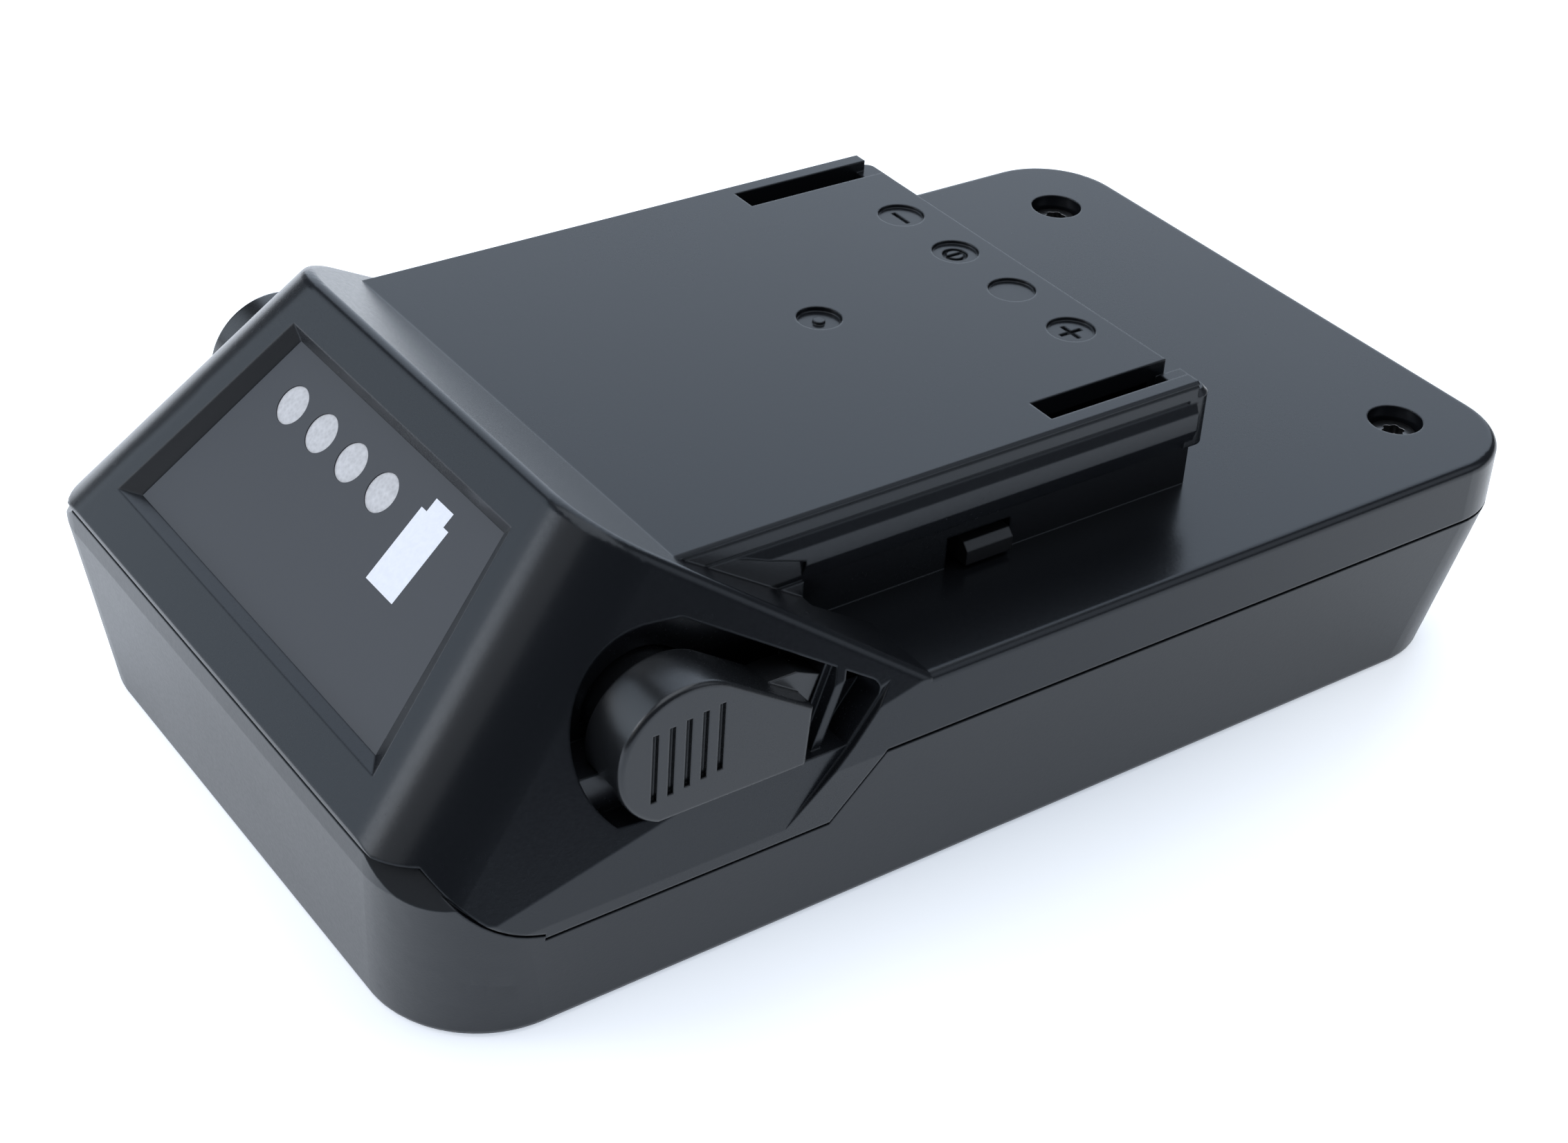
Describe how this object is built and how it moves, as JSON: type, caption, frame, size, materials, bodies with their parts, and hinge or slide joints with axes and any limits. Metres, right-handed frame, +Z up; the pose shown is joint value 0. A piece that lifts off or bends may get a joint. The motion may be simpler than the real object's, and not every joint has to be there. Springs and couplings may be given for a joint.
{
  "type": "power tool battery",
  "caption": "Slide-in rechargeable battery pack for power tools: flat two-part case with a raised rail tower, a slanted charge gauge and a sprung release button on each side.",
  "frame": {"origin": "middle of the base face the pack stands on", "axes": "+Z up, +Y along the length from the gauge end to the contact end, which is also the way the tool leaves the rails; +X to the right seen from the gauge end"},
  "size_m": [0.076, 0.128, 0.0423],
  "materials": {
    "upper_shell": "satin charcoal, fine moulded grain",
    "lower_shell": "satin charcoal, fine moulded grain",
    "button": "half-gloss charcoal",
    "latch": "plain moulded",
    "gauge_film": "printed film, half gloss",
    "gauge_symbol": "pale translucent window",
    "gauge_lens": "frosted, slightly mottled",
    "gauge_light": "clear resin",
    "circuit_board": "solder mask over glass fibre",
    "screw_steel": "blackened",
    "small_screw_steel": "zinc plated",
    "spring_steel": "drawn wire",
    "cell_sleeve": "shrink sleeve over a drawn can",
    "insulation_paper": "fibre paper",
    "cell_holder": "moulded",
    "foam": "soft foam",
    "nickel_strip": "nickel plated",
    "chip": "moulded package",
    "sensor_bead": "resin bead",
    "connector": "natural nylon",
    "flat_cable": "flexible film",
    "contact_block": "moulded",
    "contact_copper": "tinned copper alloy"
  },
  "bodies": {
    "pack": {"upper_housing": "upper_shell", "lower_housing": "lower_shell", "rear_screws": "screw_steel", "front_screws": "screw_steel", "gauge_board_screws": "small_screw_steel", "board_screws": "small_screw_steel", "gauge_film": "gauge_film", "gauge_symbol": "gauge_symbol", "gauge_lenses": "gauge_lens", "gauge_board": "circuit_board", "protection_board": "circuit_board", "gauge_lights": "gauge_light", "button_spring_right": "spring_steel", "button_spring_left": "spring_steel", "cell_rings": "insulation_paper", "insulation_sheets": "insulation_paper", "cell_holder_right": "cell_holder", "cell_holder_left": "cell_holder", "cell_pad": "foam", "power_transistors": "chip", "charge_controller": "chip", "temperature_sensor": "sensor_bead", "gauge_cable_socket": "connector", "gauge_cable": "flat_cable", "contact_block": "contact_block", "cell_1": "cell_sleeve", "cell_2": "cell_sleeve", "cell_3": "cell_sleeve", "cell_4": "cell_sleeve", "cell_5": "cell_sleeve", "strip_minus": "nickel_strip", "link_one_two": "nickel_strip", "link_two_three": "nickel_strip", "link_three_four": "nickel_strip", "link_four_five": "nickel_strip", "strip_plus": "nickel_strip", "contact_minus": "contact_copper", "contact_data": "contact_copper", "contact_spare": "contact_copper", "contact_plus": "contact_copper"},
    "release_right": {"release_button_right": "button", "latch_slide_right": "latch"},
    "release_left": {"release_button_left": "button", "latch_slide_left": "latch"}
  },
  "joints": [
    {"name": "release_right_press", "type": "slide", "parent": "pack", "child": "release_right", "axis": [-1, 0, 0], "range_m": [0, 0.0024], "stiffness_N_per_m": 500, "springref_m": -0.004, "deforming": ["button_spring_right"]},
    {"name": "release_left_press", "type": "slide", "parent": "pack", "child": "release_left", "axis": [1, 0, 0], "range_m": [0, 0.0024], "stiffness_N_per_m": 500, "springref_m": -0.004, "deforming": ["button_spring_left"]}
  ]
}
